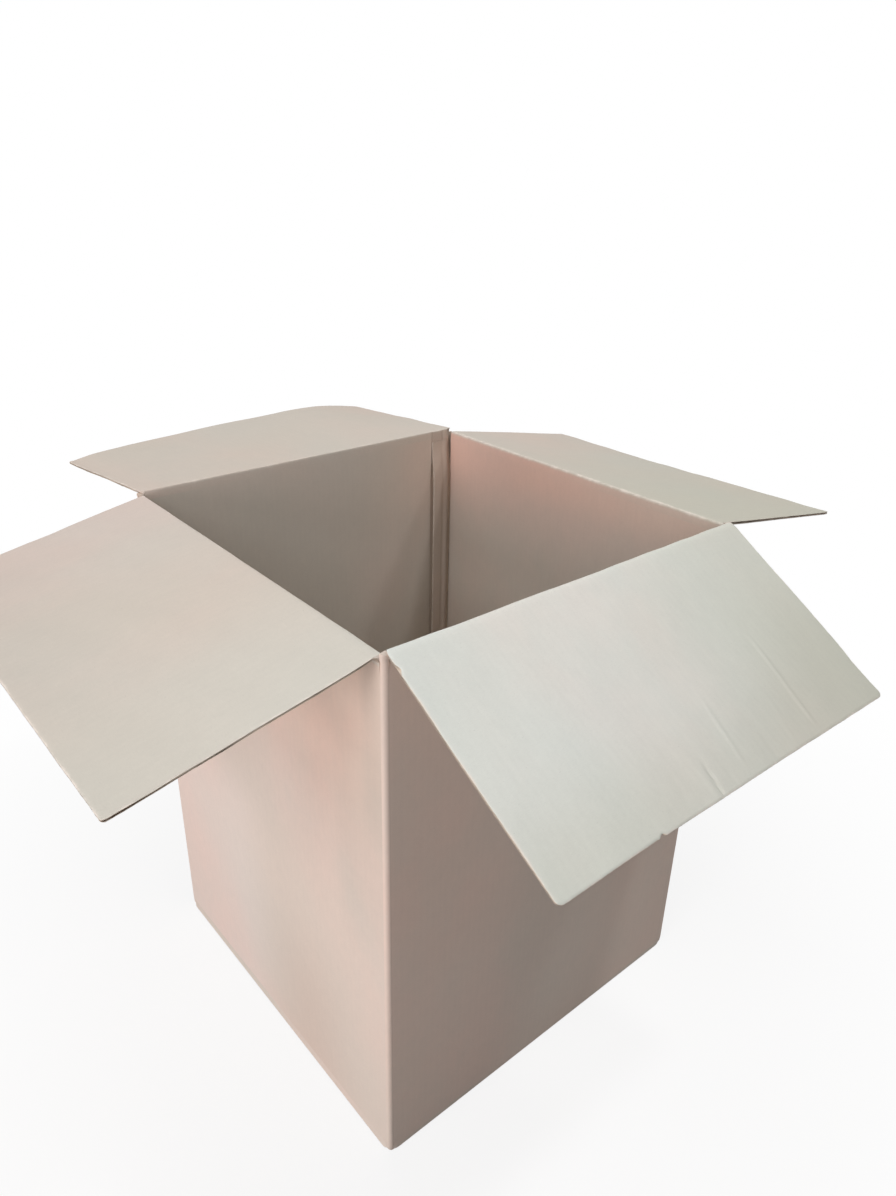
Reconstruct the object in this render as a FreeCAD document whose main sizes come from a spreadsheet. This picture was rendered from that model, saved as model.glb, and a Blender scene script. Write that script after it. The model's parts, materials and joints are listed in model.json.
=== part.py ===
# Open corrugated shipping carton: one folded sheet with four top flaps standing open, taped underneath.
import FreeCAD, Part
import os

import Sketcher
from FreeCAD import Placement, Rotation, Vector

# Frame: origin on the floor under the middle of the base, +Z up, lengths in millimetres, angles in degrees.
# The front and back walls face -Y and +Y and carry the outer flaps, the left and right walls face -X and +X
# and carry the inner flaps, which fold first and so are scored one board lower.
DIMENSIONS = [
    ("carton_width", 465, "outside, from the left wall to the right wall"),
    ("carton_length", 468, "outside, from the front wall to the back wall"),
    ("outer_fold_height", 616, "floor to the fold of the front and back flaps"),
    ("board", 5, "thickness of the corrugated board"),
    ("corner_radius", 4.5, "outside radius of the folded upright corners"),
    ("base_fold_radius", 3, "outside radius of the folds round the base"),
    ("outer_seam_gap", 16, "between the front and back flaps' free edges when they are shut"),
    ("inner_seam_gap", 5, "between the left and right flaps' free edges when they are shut"),
    ("flap_inset", 5.5, "outside of the carton to a flap's side edge"),
    ("layer_clearance", 0.3, "play between two layers of flaps when they are shut"),
    ("fold_clearance", 0.2, "fold line to the board on either side of it"),
    ("crush_angle", 42, "how steeply the scored board is crushed at a fold"),
    ("slot_overcut", 1.5, "how far a slot is cut past the lower fold"),
    ("tab_width", 34, "glued tab inside the back wall"),
    ("tab_taper", 6, "how much shorter the tab's free edge is at each end"),
    ("tab_score_width", 10, "crushed strip where the tab turns the corner"),
    ("tab_score_board", 1.5, "board left in the corner of that strip"),
    ("tab_clearance", 1.5, "tab's ends to the flaps that fold over them"),
    ("tape_width", 48, "packing tape under the bottom seam"),
    ("tape_thickness", 0.1, "packing tape"),
    ("tape_end_gap", 3, "ends of the tape to the carton's side walls"),
]

# How far each flap hangs below level along its fold: share of the fold's length, angle in degrees.
# Shares run from left to right on the back flap, and the same way round on the others.
FLAP_DROOP_ANGLES = {
    "back": [(0, 5.7), (0.13, 3.95), (0.35, 2.5), (0.6, 1.35), (0.78, 0.95), (0.88, 1.8), (1, 4.1)],
    "left": [(0, 12.3), (0.2, 11.3), (0.42, 9.95), (0.7, 10.2), (1, 11.2)],
    "front": [(0, 31.8), (0.3, 30.4), (0.6, 29.0), (0.85, 28.9), (1, 30.6)],
    "right": [(0, 10.35), (0.5, 10.15), (1, 9.15)],
}

os.makedirs("parts", exist_ok=True)
doc = FreeCAD.newDocument("open_carton")

sheet = doc.addObject("Spreadsheet::Sheet", "Dimensions")
rows = list(DIMENSIONS)
for side, stations in FLAP_DROOP_ANGLES.items():
    for number, (share, droop) in enumerate(stations):
        rows.append((f"{side}_share_{number}_", share, f"{side} flap, place of station {number}"))
        rows.append((f"{side}_droop_{number}_", droop, f"{side} flap, droop at station {number}"))
for row, (alias, value, meaning) in enumerate(rows, start=1):
    sheet.set(f"A{row}", meaning)
    sheet.set(f"B{row}", str(value))
    sheet.setAlias(f"B{row}", alias)
doc.recompute()

# Lengths that follow from the driving dimensions, as expressions of the sheet
HALF_WIDTH = "Dimensions.carton_width / 2"
HALF_LENGTH = "Dimensions.carton_length / 2"
BOARD = "Dimensions.board"
INSET = "Dimensions.flap_inset"
OUTER_DEPTH = "((Dimensions.carton_length - Dimensions.outer_seam_gap) / 2)"
INNER_DEPTH = "((Dimensions.carton_width - Dimensions.inner_seam_gap) / 2)"
UNDERSIDE = "Dimensions.tape_thickness"
OUTER_FOLD = "Dimensions.outer_fold_height"
INNER_FOLD = f"({OUTER_FOLD} - {BOARD} - Dimensions.layer_clearance)"
OUTER_RIM = f"({OUTER_FOLD} - Dimensions.fold_clearance)"
INNER_RIM = f"({INNER_FOLD} - Dimensions.fold_clearance)"
SLOT_END = f"({INNER_FOLD} - Dimensions.slot_overcut)"
INNER_LAYER = f"({UNDERSIDE} + {BOARD})"
FLOOR_TOP = f"({UNDERSIDE} + 2 * {BOARD})"
CRUSH_DROP = "tan(90 deg - Dimensions.crush_angle * 1 deg)"
PAST_FACE = 10  # how far a cutting outline runs beyond the board


def size(expression):
    """The value of an expression of the sheet's dimensions."""
    return float(sheet.evalExpression(str(expression)))


def origin_plane(body, role):
    return next(plane for plane in body.Origin.OriginFeatures if plane.Role == role)


def add_outline(sketch, corners):
    """Adds a closed outline whose corners stand at (across, up) expressions, none of them zero."""
    first = sketch.GeometryCount
    count = len(corners)
    points = [Vector(size(across), size(up), 0) for across, up in corners]
    for start, end in zip(points, points[1:] + points[:1]):
        sketch.addGeometry(Part.LineSegment(start, end))
    for line in range(count):
        following = first + (line + 1) % count
        sketch.addConstraint(Sketcher.Constraint("Coincident", first + line, 2, following, 1))
    for line, corner in enumerate(corners):
        for kind, expression in zip(("DistanceX", "DistanceY"), corner):
            constraint = sketch.addConstraint(
                Sketcher.Constraint(kind, -1, 1, first + line, 1, size(expression)))
            sketch.setExpression(f"Constraints[{constraint}]", str(expression))


def new_sketch(body, name, role, outlines, lift=None):
    """A sketch of closed outlines on one of the body's own planes, lifted off it by an expression."""
    sketch = body.newObject("Sketcher::SketchObject", name)
    sketch.AttachmentSupport = [(origin_plane(body, role), "")]
    sketch.MapMode = "FlatFace"
    if lift is not None:
        sketch.setExpression(".AttachmentOffset.Base.z", str(lift))
    for corners in outlines:
        add_outline(sketch, corners)
    doc.recompute()
    return sketch


def rectangle(across_low, across_high, up_low, up_high):
    return [(across_low, up_low), (across_high, up_low), (across_high, up_high), (across_low, up_high)]


def mirrored(outline):
    """The same outline on the other side of the upright axis."""
    return [(f"-({across})", up) for across, up in reversed(outline)]


def add_feature(body, kind, name, sketch, **settings):
    """A pad or pocket; it must change the body's volume the right way."""
    before = body.Shape.Volume if body.Shape and not body.Shape.isNull() else 0.0
    feature = body.newObject(f"PartDesign::{kind}", name)
    feature.Profile = sketch
    for setting, value in settings.items():
        if isinstance(value, str) and setting == "Length":
            feature.setExpression(setting, value)
        else:
            setattr(feature, setting, value)
    doc.recompute()
    change = body.Shape.Volume - before
    if change * (1 if kind == "Pad" else -1) <= 0:
        raise RuntimeError(f"{name} changes the volume by {change:.3f}")
    return feature


def add_fillet(body, name, radius, wanted):
    """Rounds the body's edges for which wanted(edge) is true."""
    base = body.Tip
    edges = [f"Edge{number}" for number, edge in enumerate(base.Shape.Edges, start=1) if wanted(edge)]
    if not edges:
        raise RuntimeError(f"{name} finds no edges")
    fillet = body.newObject("PartDesign::Fillet", name)
    fillet.Base = (base, edges)
    fillet.setExpression("Radius", radius)
    doc.recompute()
    return fillet


def runs_between(edge, start, end, slack=0.01):
    """Whether the edge joins two points, given by their sizes along each axis, on any side of the origin."""
    ends = [vertex.Point for vertex in edge.Vertexes]
    if len(ends) != 2:
        return False
    for one, other in (ends, ends[::-1]):
        if all(abs(abs(one[axis]) - start[axis]) < slack and abs(abs(other[axis]) - end[axis]) < slack
               for axis in range(3)):
            return True
    return False


def make_carton_body():
    """Walls, glued tab and folded bottom flaps: the one sheet, without its four top flaps."""
    body = doc.addObject("PartDesign::Body", "carton_body")
    body.Label = "carton_body"

    outside = rectangle(f"-{HALF_WIDTH}", HALF_WIDTH, f"-{HALF_LENGTH}", HALF_LENGTH)
    inner_x = f"({HALF_WIDTH} - {BOARD})"
    inner_y = f"({HALF_LENGTH} - {BOARD})"
    inside = rectangle(f"-{inner_x}", inner_x, f"-{inner_y}", inner_y)
    walls = new_sketch(body, "WallOutline", "XY_Plane", [outside, inside], UNDERSIDE)
    add_feature(body, "Pad", "Walls", walls, Length=f"{OUTER_RIM} - {UNDERSIDE}")

    corner = (size(HALF_WIDTH), size(HALF_LENGTH))
    add_fillet(body, "UprightCorners", "Dimensions.corner_radius",
               lambda edge: runs_between(edge, (*corner, size(UNDERSIDE)), (*corner, size(OUTER_RIM))))

    # The left and right walls stop at the inner flaps' folds, above and below
    slot_x = f"({HALF_WIDTH} - {INSET})"
    slot_y = f"({HALF_LENGTH} - {INSET})"
    past_x = f"({HALF_WIDTH} + {PAST_FACE})"
    past_y = f"({HALF_LENGTH} + {PAST_FACE})"
    above = rectangle(slot_x, past_x, INNER_RIM, f"{OUTER_FOLD} + {PAST_FACE}")
    below = rectangle(slot_x, past_x, f"-{PAST_FACE}", INNER_LAYER)
    side_rims = new_sketch(body, "SideRimOutline", "XZ_Plane",
                           [above, below, mirrored(above), mirrored(below)])
    add_feature(body, "Pocket", "SideRims", side_rims, Type="ThroughAll", SideType="Symmetric")

    # Slots between neighbouring flaps end a little below the lower fold
    slot = rectangle(slot_x, past_x, slot_y, past_y)
    slot_front = rectangle(slot_x, past_x, f"-{past_y}", f"-{slot_y}")
    slots = new_sketch(body, "SlotOutline", "XY_Plane",
                       [slot, mirrored(slot), slot_front, mirrored(slot_front)], SLOT_END)
    add_feature(body, "Pocket", "Slots", slots, Type="ThroughAll", Reversed=True)

    # Scored folds: the board is crushed on its inner side, so the walls end in a slope
    def crushed_edge(half, rim):
        foot = f"({rim} - ({BOARD} + 1) * {CRUSH_DROP})"
        return [(half, rim), (f"{half} - {BOARD} - 1", foot), (f"{half} - {BOARD} - 1", f"{rim} + 1"),
                (half, f"{rim} + 1")]

    front_back = crushed_edge(HALF_LENGTH, OUTER_RIM)
    outer_scores = new_sketch(body, "OuterScoreOutline", "YZ_Plane", [front_back, mirrored(front_back)])
    add_feature(body, "Pocket", "OuterScores", outer_scores, Type="ThroughAll", SideType="Symmetric")
    left_right = crushed_edge(HALF_WIDTH, INNER_RIM)
    inner_scores = new_sketch(body, "InnerScoreOutline", "XZ_Plane", [left_right, mirrored(left_right)])
    add_feature(body, "Pocket", "InnerScores", inner_scores, Length=f"2 * {inner_y}", SideType="Symmetric")

    # Bottom flaps, the outer pair below and the inner pair on it
    front_flap = rectangle(f"-{slot_x}", slot_x, f"-{HALF_LENGTH} + {BOARD} / 2",
                           f"-{HALF_LENGTH} + {OUTER_DEPTH}")
    back_flap = rectangle(f"-{slot_x}", slot_x, f"{HALF_LENGTH} - {OUTER_DEPTH}",
                          f"{HALF_LENGTH} - {BOARD} / 2")
    outer_bottom = new_sketch(body, "OuterBottomOutline", "XY_Plane", [front_flap, back_flap], UNDERSIDE)
    add_feature(body, "Pad", "OuterBottomFlaps", outer_bottom, Length=BOARD)
    right_flap = rectangle(f"{HALF_WIDTH} - {INNER_DEPTH}", f"{HALF_WIDTH} - {BOARD} / 2",
                           f"-{slot_y}", slot_y)
    inner_bottom = new_sketch(body, "InnerBottomOutline", "XY_Plane",
                              [right_flap, mirrored(right_flap)], INNER_LAYER)
    add_feature(body, "Pad", "InnerBottomFlaps", inner_bottom, Length=BOARD)

    # Tab that carries on from the right wall and is glued inside the back wall, crushed where it turns
    tab_free = f"({inner_x} - Dimensions.tab_width)"
    tab_face = f"({inner_y} - {BOARD})"
    tab_low = f"({FLOOR_TOP} + Dimensions.tab_clearance)"
    tab_high = f"({INNER_FOLD} - {BOARD} - Dimensions.tab_clearance)"
    score_start = f"{inner_x} - Dimensions.tab_score_width"
    tab_section = [(tab_free, inner_y), (tab_free, tab_face), (score_start, tab_face),
                   (inner_x, f"{inner_y} - Dimensions.tab_score_board"), (inner_x, inner_y)]
    tab = new_sketch(body, "TabSection", "XY_Plane", [tab_section], tab_low)
    add_feature(body, "Pad", "GluedTab", tab, Length=f"{tab_high} - {tab_low}")
    beyond_tab = f"({tab_free} - {PAST_FACE})"
    top_end = [(tab_free, f"{tab_high} - Dimensions.tab_taper"), (inner_x, tab_high), (beyond_tab, tab_high)]
    foot_end = [(tab_free, f"{tab_low} + Dimensions.tab_taper"), (beyond_tab, tab_low), (inner_x, tab_low)]
    tab_ends = new_sketch(body, "TabEndOutline", "XZ_Plane", [top_end, foot_end], f"-{inner_y}")
    add_feature(body, "Pocket", "TabEnds", tab_ends, Length=f"{BOARD} + {PAST_FACE}", Reversed=True)

    # Folds round the base
    low_outer = size(UNDERSIDE)
    low_inner = size(INNER_LAYER)
    outer_fold_end = (size(slot_x), size(HALF_LENGTH), low_outer)
    inner_fold_end = (size(HALF_WIDTH), size(slot_y), low_inner)
    add_fillet(body, "BaseFolds", "Dimensions.base_fold_radius",
               lambda edge: runs_between(edge, outer_fold_end, outer_fold_end)
               or runs_between(edge, inner_fold_end, inner_fold_end))
    return body


def flap_corner(along, off, droop):
    """A corner of a flap's section: so far out from the fold and so far above the board's outer face."""
    return (f"({along}) * cos({droop}) + ({off}) * sin({droop})",
            f"({off}) * cos({droop}) - ({along}) * sin({droop})")


def make_flap(side, angle, across, depth, hinge):
    """A top flap, lofted through sections along its fold, each turned down by that station's droop."""
    body = doc.addObject("PartDesign::Body", f"top_flap_{side}")
    body.Label = f"top_flap_{side}"
    span = f"({across} - 2 * {INSET})"
    sections = []
    for number in range(len(FLAP_DROOP_ANGLES[side])):
        droop = f"Dimensions.{side}_droop_{number}_ * 1 deg"
        lift = f"(Dimensions.{side}_share_{number}_ - 0.5) * {span}"
        start = "Dimensions.fold_clearance"
        crushed = f"{start} + {BOARD} * {CRUSH_DROP}"
        corners = [flap_corner(start, 0, droop), flap_corner(depth, 0, droop),
                   flap_corner(depth, BOARD, droop), flap_corner(crushed, BOARD, droop)]
        sections.append(new_sketch(body, f"{side}_section_{number}_", "YZ_Plane", [corners], lift))
    loft = body.newObject("PartDesign::AdditiveLoft", f"{side}_board")
    loft.Profile = sections[0]
    loft.Sections = sections[1:]
    loft.Ruled = False
    doc.recompute()
    body.Placement = Placement(hinge, Rotation(Vector(0, 0, 1), angle))
    return body


def make_tape():
    """The strip that holds the bottom flaps shut, along the outer pair's seam."""
    tape = doc.addObject("Part::Box", "bottom_tape")
    tape.Label = "bottom_tape"
    length = "(Dimensions.carton_width - 2 * Dimensions.flap_inset - 2 * Dimensions.tape_end_gap)"
    tape.setExpression("Length", length)
    tape.setExpression("Width", "Dimensions.tape_width")
    tape.setExpression("Height", "Dimensions.tape_thickness")
    tape.setExpression(".Placement.Base.x", f"-{length} / 2")
    tape.setExpression(".Placement.Base.y", "-Dimensions.tape_width / 2")
    doc.recompute()
    return tape


width = "Dimensions.carton_width"
length = "Dimensions.carton_length"
pieces = [
    make_carton_body(),
    make_flap("back", 0, width, OUTER_DEPTH, Vector(0, size(HALF_LENGTH), size(OUTER_FOLD))),
    make_flap("left", 90, length, INNER_DEPTH, Vector(-size(HALF_WIDTH), 0, size(INNER_FOLD))),
    make_flap("front", 180, width, OUTER_DEPTH, Vector(0, -size(HALF_LENGTH), size(OUTER_FOLD))),
    make_flap("right", -90, length, INNER_DEPTH, Vector(size(HALF_WIDTH), 0, size(INNER_FOLD))),
    make_tape(),
]
doc.recompute()

for item in doc.Objects:
    if "Invalid" in item.State or "Error" in item.State:
        raise RuntimeError(f"{item.Label} failed: {item.State}")
for piece in pieces:
    if piece.Shape.isNull() or not piece.Shape.isValid():
        raise RuntimeError(f"{piece.Label} has no valid shape")
    if len(piece.Shape.Solids) != 1:
        raise RuntimeError(f"{piece.Label} is {len(piece.Shape.Solids)} solids")
for piece in pieces:
    piece.Shape.exportStep(f"parts/{piece.Label}.step")
    print(f"{piece.Label}: {piece.Shape.Volume:.1f} mm3, {len(piece.Shape.Faces)} faces")
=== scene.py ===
"""Open corrugated carton: its walls, flaps, folds, glued tab and tape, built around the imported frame."""
import json
import math
from dataclasses import dataclass
from functools import partial

import bpy
import numpy as np
from mathutils import Matrix, Vector


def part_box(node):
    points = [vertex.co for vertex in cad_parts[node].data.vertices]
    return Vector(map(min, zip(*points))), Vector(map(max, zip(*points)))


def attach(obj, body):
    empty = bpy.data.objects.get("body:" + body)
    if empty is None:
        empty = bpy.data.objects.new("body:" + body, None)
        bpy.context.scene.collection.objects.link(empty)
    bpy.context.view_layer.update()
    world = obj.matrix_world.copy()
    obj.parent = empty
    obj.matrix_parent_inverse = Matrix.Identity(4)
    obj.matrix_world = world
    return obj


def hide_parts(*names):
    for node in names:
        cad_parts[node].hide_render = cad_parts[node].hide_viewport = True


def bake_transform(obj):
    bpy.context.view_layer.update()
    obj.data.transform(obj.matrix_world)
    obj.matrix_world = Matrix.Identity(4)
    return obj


bl_info = {
    "name": "Open Cardboard Carton",
    "version": (1, 0, 0),
    "blender": (4, 5, 0),
    "location": "3D View > Sidebar > Carton",
    "description": "Corrugated carton with four top flaps standing open",
    "category": "Add Mesh",
}

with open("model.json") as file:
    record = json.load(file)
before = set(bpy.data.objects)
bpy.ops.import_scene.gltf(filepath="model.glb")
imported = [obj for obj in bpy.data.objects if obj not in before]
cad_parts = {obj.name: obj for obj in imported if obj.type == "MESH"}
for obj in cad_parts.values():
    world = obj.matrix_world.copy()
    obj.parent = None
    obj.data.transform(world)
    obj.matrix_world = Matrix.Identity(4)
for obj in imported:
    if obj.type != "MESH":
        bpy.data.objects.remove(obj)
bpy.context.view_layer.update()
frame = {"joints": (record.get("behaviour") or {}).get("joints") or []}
MM = 0.001

# The walls in their order round the carton, seen from above, and the turn about Z of each wall's own frame:
# X along its folds, Y outward, Z up. The walls are glued together where the right one meets the back one.
TURNS = {"right": -90.0, "front": 180.0, "left": 90.0, "back": 0.0}
FOLDS = {joint["name"].split("_")[0]: joint for joint in frame["joints"]}
HINGES = {side: np.array(FOLDS[side]["pos_m"], float) for side in TURNS}
BODY_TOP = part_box("carton_body")[1]
HALF_WIDTHS = {side: BODY_TOP.x if side in ("front", "back") else BODY_TOP.y for side in TURNS}
NUMBERS = {side: number for number, side in enumerate(TURNS)}
RIGHT, FRONT, LEFT, BACK = range(4)
PATCH_STEP = 0.47  # from one panel's part of the paper's pattern to the next one's

# How far each top flap hangs below level along its fold: share of the fold's length, angle in degrees
DROOPS = {
    "back": [(0, 5.6), (0.05, 4.6), (0.13, 3.9), (0.3, 2.75), (0.45, 1.9), (0.6, 1.3), (0.76, 0.9),
             (0.84, 1.2), (0.9, 2.0), (1, 4.1)],
    "left": [(0, 12.3), (0.2, 11.3), (0.42, 9.95), (0.7, 10.2), (1, 11.2)],
    "front": [(0, 31.8), (0.3, 30.4), (0.6, 29.0), (0.85, 28.9), (1, 30.6)],
    "right": [(0, 10.3), (0.3, 10.3), (0.55, 10.05), (1, 9.15)],
}

# Small damage, in each flap's own frame: distances along its fold and out from it, in metres
WRINKLES = {"front": [  # start and end across, start and end outward, width, height
    (-0.1247, -0.1137, 0.108, 0.214, 0.0019, 0.00066), (-0.0139, -0.0010, 0.140, 0.212, 0.0018, 0.00050),
    (0.0372, 0.0428, 0.186, 0.227, 0.0014, -0.00115), (0.0470, 0.0500, 0.190, 0.224, 0.0026, 0.00032),
    (0.0610, 0.0640, 0.200, 0.226, 0.0022, -0.00022), (0.0720, 0.0810, 0.176, 0.220, 0.0030, -0.00020),
    (0.1130, 0.1170, 0.196, 0.226, 0.0022, 0.00022), (0.0170, 0.0240, 0.192, 0.226, 0.0022, -0.00022),
    (-0.0330, -0.0230, 0.196, 0.226, 0.0020, 0.00020), (-0.0470, -0.0410, 0.178, 0.224, 0.0028, -0.00024),
    (-0.0860, -0.0730, 0.170, 0.222, 0.0024, 0.00020)]}
NICKS = {"left": [(0.1116, 0.0016, 0.0010), (0.1735, 0.0014, 0.0009)]}

# How far each top flap is cut back (or, below 0, stands out) in millimetres: along its low edge and its high edge
# by the distance out from the fold, and along its free edge by the distance across
OUTLINES = {
    "right": ([(0, 0.3), (230, 0.3)], [(0, 5.2), (24, 4.6), (47, 3.6), (72, 3.2), (97, 2.5), (122, 1.2), (147, 0),
                                  (230, -0.4)], [(-230, 0), (230, 0)]),
    "front": ([(0, -3.0), (170, -3.0), (187, -1.2), (214, -1.2), (226, -2.0)],
              [(0, -3.7), (10.5, -3.7), (12.5, -2.9), (14.2, -1.6), (17, -0.9), (18.5, -2.1), (22.5, -4.0),
               (26, -3.7), (90, -3.7), (226, -2.6)],
              [(-231, -3.3), (-125, -1.9), (-57, -0.6), (35, 0), (100, 0.9), (231, 0.6)]),
    "left": ([(0, 2.0), (5, 1.5), (16, 0.8), (30, 0.3), (50, 0.5), (170, 3.0), (230, 3.7)],
             [(0, -0.4), (230, -0.4)], [(-230, 0), (230, 0)]),
    "back": ([(0, -4.6), (100, -4.8), (160, -6.6), (230, -6.4)], [(0, 0), (100, 0), (200, 3.0), (230, 3.0)],
             [(-230, 0), (230, 0)]),
}


class CartonSizes(bpy.types.PropertyGroup):
    board: bpy.props.FloatProperty(
        name="Board", description="Thickness of the corrugated board", default=0.005, subtype="DISTANCE")
    liner: bpy.props.FloatProperty(
        name="Liner", description="Thickness of each flat outer paper", default=0.00045, subtype="DISTANCE")
    fluting: bpy.props.FloatProperty(
        name="Fluting", description="Thickness of the wavy paper", default=0.0003, subtype="DISTANCE")
    pitch: bpy.props.FloatProperty(
        name="Flute pitch", description="From one flute to the next", default=0.0077, subtype="DISTANCE")
    inset: bpy.props.FloatProperty(
        name="Flap inset", description="Outside of the carton to a flap's side edge", default=0.0055,
        subtype="DISTANCE")
    outer_seam: bpy.props.FloatProperty(
        name="Outer seam", description="Between the front and back flaps when they are shut", default=0.016,
        subtype="DISTANCE")
    inner_seam: bpy.props.FloatProperty(
        name="Inner seam", description="Between the left and right flaps when they are shut", default=0.005,
        subtype="DISTANCE")
    corner: bpy.props.FloatProperty(
        name="Corner radius", description="Outside radius of the folded upright corners", default=0.0045,
        subtype="DISTANCE")
    tip: bpy.props.FloatProperty(
        name="Tip radius", description="Radius of the flaps' worn tips", default=0.0045, subtype="DISTANCE")
    fold_reach: bpy.props.FloatProperty(
        name="Fold reach", description="How far the crushed board of a fold reaches on either side", default=0.006,
        subtype="DISTANCE")
    wall_bow: bpy.props.FloatProperty(
        name="Wall bow", description="How far the walls bulge in the middle", default=0.0016, subtype="DISTANCE")
    edge_crush: bpy.props.FloatProperty(
        name="Edge crush", description="How far a cut edge is pinched by the knife", default=0.0019,
        subtype="DISTANCE")
    tab_width: bpy.props.FloatProperty(
        name="Tab width", description="Glued tab inside the back wall", default=0.034, subtype="DISTANCE")
    tape_width: bpy.props.FloatProperty(
        name="Tape width", description="Packing tape under the bottom seam", default=0.048, subtype="DISTANCE")


PAINT = {"size": 3, "min": 0, "max": 1, "subtype": "COLOR"}


class CartonColours(bpy.types.PropertyGroup):
    inside: bpy.props.FloatVectorProperty(
        name="Inside paper", description="Liner that faces the inside of the carton", default=(0.590, 0.526, 0.470),
        **PAINT)
    outside: bpy.props.FloatVectorProperty(
        name="Outside paper", description="Liner that faces outward", default=(0.775, 0.672, 0.595),
        **PAINT)
    fluting: bpy.props.FloatVectorProperty(
        name="Fluting", description="Wavy paper between the liners", default=(0.64, 0.54, 0.44),
        **PAINT)
    worn: bpy.props.FloatVectorProperty(
        name="Worn edge", description="Bruised paper along cut edges and folds", default=(0.76, 0.69, 0.62),
        **PAINT)
    tape: bpy.props.FloatVectorProperty(
        name="Tape", description="Tan film of the packing tape", default=(0.50, 0.36, 0.20),
        **PAINT)


def sizes():
    return bpy.context.scene.carton_sizes


def colours():
    return bpy.context.scene.carton_colours


def half_flap(side):
    """Half of a flap's width, from the middle of its wall to the slot beside it."""
    return HALF_WIDTHS[side] - sizes().inset


# ---------------------------------------------------------------- shapes of curves

def smooth(x):
    x = np.clip(x, 0, 1)
    return x * x * (3 - 2 * x)


def through(stations, share):
    """A smooth curve through (share, value) stations."""
    x, y = np.array(stations, float).T
    slope = np.gradient(y, x)
    k = np.clip(np.searchsorted(x, share, side="right") - 1, 0, len(x) - 2)
    width = x[k + 1] - x[k]
    u = np.clip((share - x[k]) / width, 0, 1)
    return ((2 * u**3 - 3 * u**2 + 1) * y[k] + (u**3 - 2 * u**2 + u) * width * slope[k]
            + (3 * u**2 - 2 * u**3) * y[k + 1] + (u**3 - u**2) * width * slope[k + 1])


def wander(u, v, seed, longest, shortest, waves=7):
    """Smooth wandering between about -1 and 1, the same in every run."""
    draw = np.random.default_rng(seed)
    total = np.zeros(np.broadcast(u, v).shape)
    for wavelength in np.geomspace(longest, shortest, waves):
        heading, phase = draw.uniform(0, 2 * math.pi, 2)
        total += np.sin((u * math.cos(heading) + v * math.sin(heading)) * 2 * math.pi / wavelength + phase)
    return total / math.sqrt(2 * waves)


def spaced(low, high, step, fine_low=True):
    """Stations from low to high, closer together towards the high end, and the low one where it is cut too."""
    fine = np.array([0, 0.25, 0.6, 1.1, 1.8, 2.8, 4.2, 6.2, 9]) * MM
    start = low + fine if fine_low else np.array([low])
    end = high - fine[::-1]
    count = max(2, round((end[0] - start[-1]) / step))
    return np.concatenate([start, np.linspace(start[-1], end[0], count + 1)[1:-1], end])


def stacked(*parts):
    """Points from their three parts, each a number or a grid."""
    return np.stack(np.broadcast_arrays(*parts), axis=-1)


def turned(side, across, outward, up):
    """Points of a wall's own frame, whose origin is under its outer face's middle, in the carton's frame."""
    a = math.radians(TURNS[side])
    x, y, _ = HINGES[side]
    return stacked(x + across * math.cos(a) - outward * math.sin(a),
                   y + across * math.sin(a) + outward * math.cos(a), up)


# ---------------------------------------------------------------- meshes

def linked(name, data):
    made = bpy.data.objects.new(name, data)
    bpy.context.scene.collection.objects.link(made)
    return made


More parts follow.
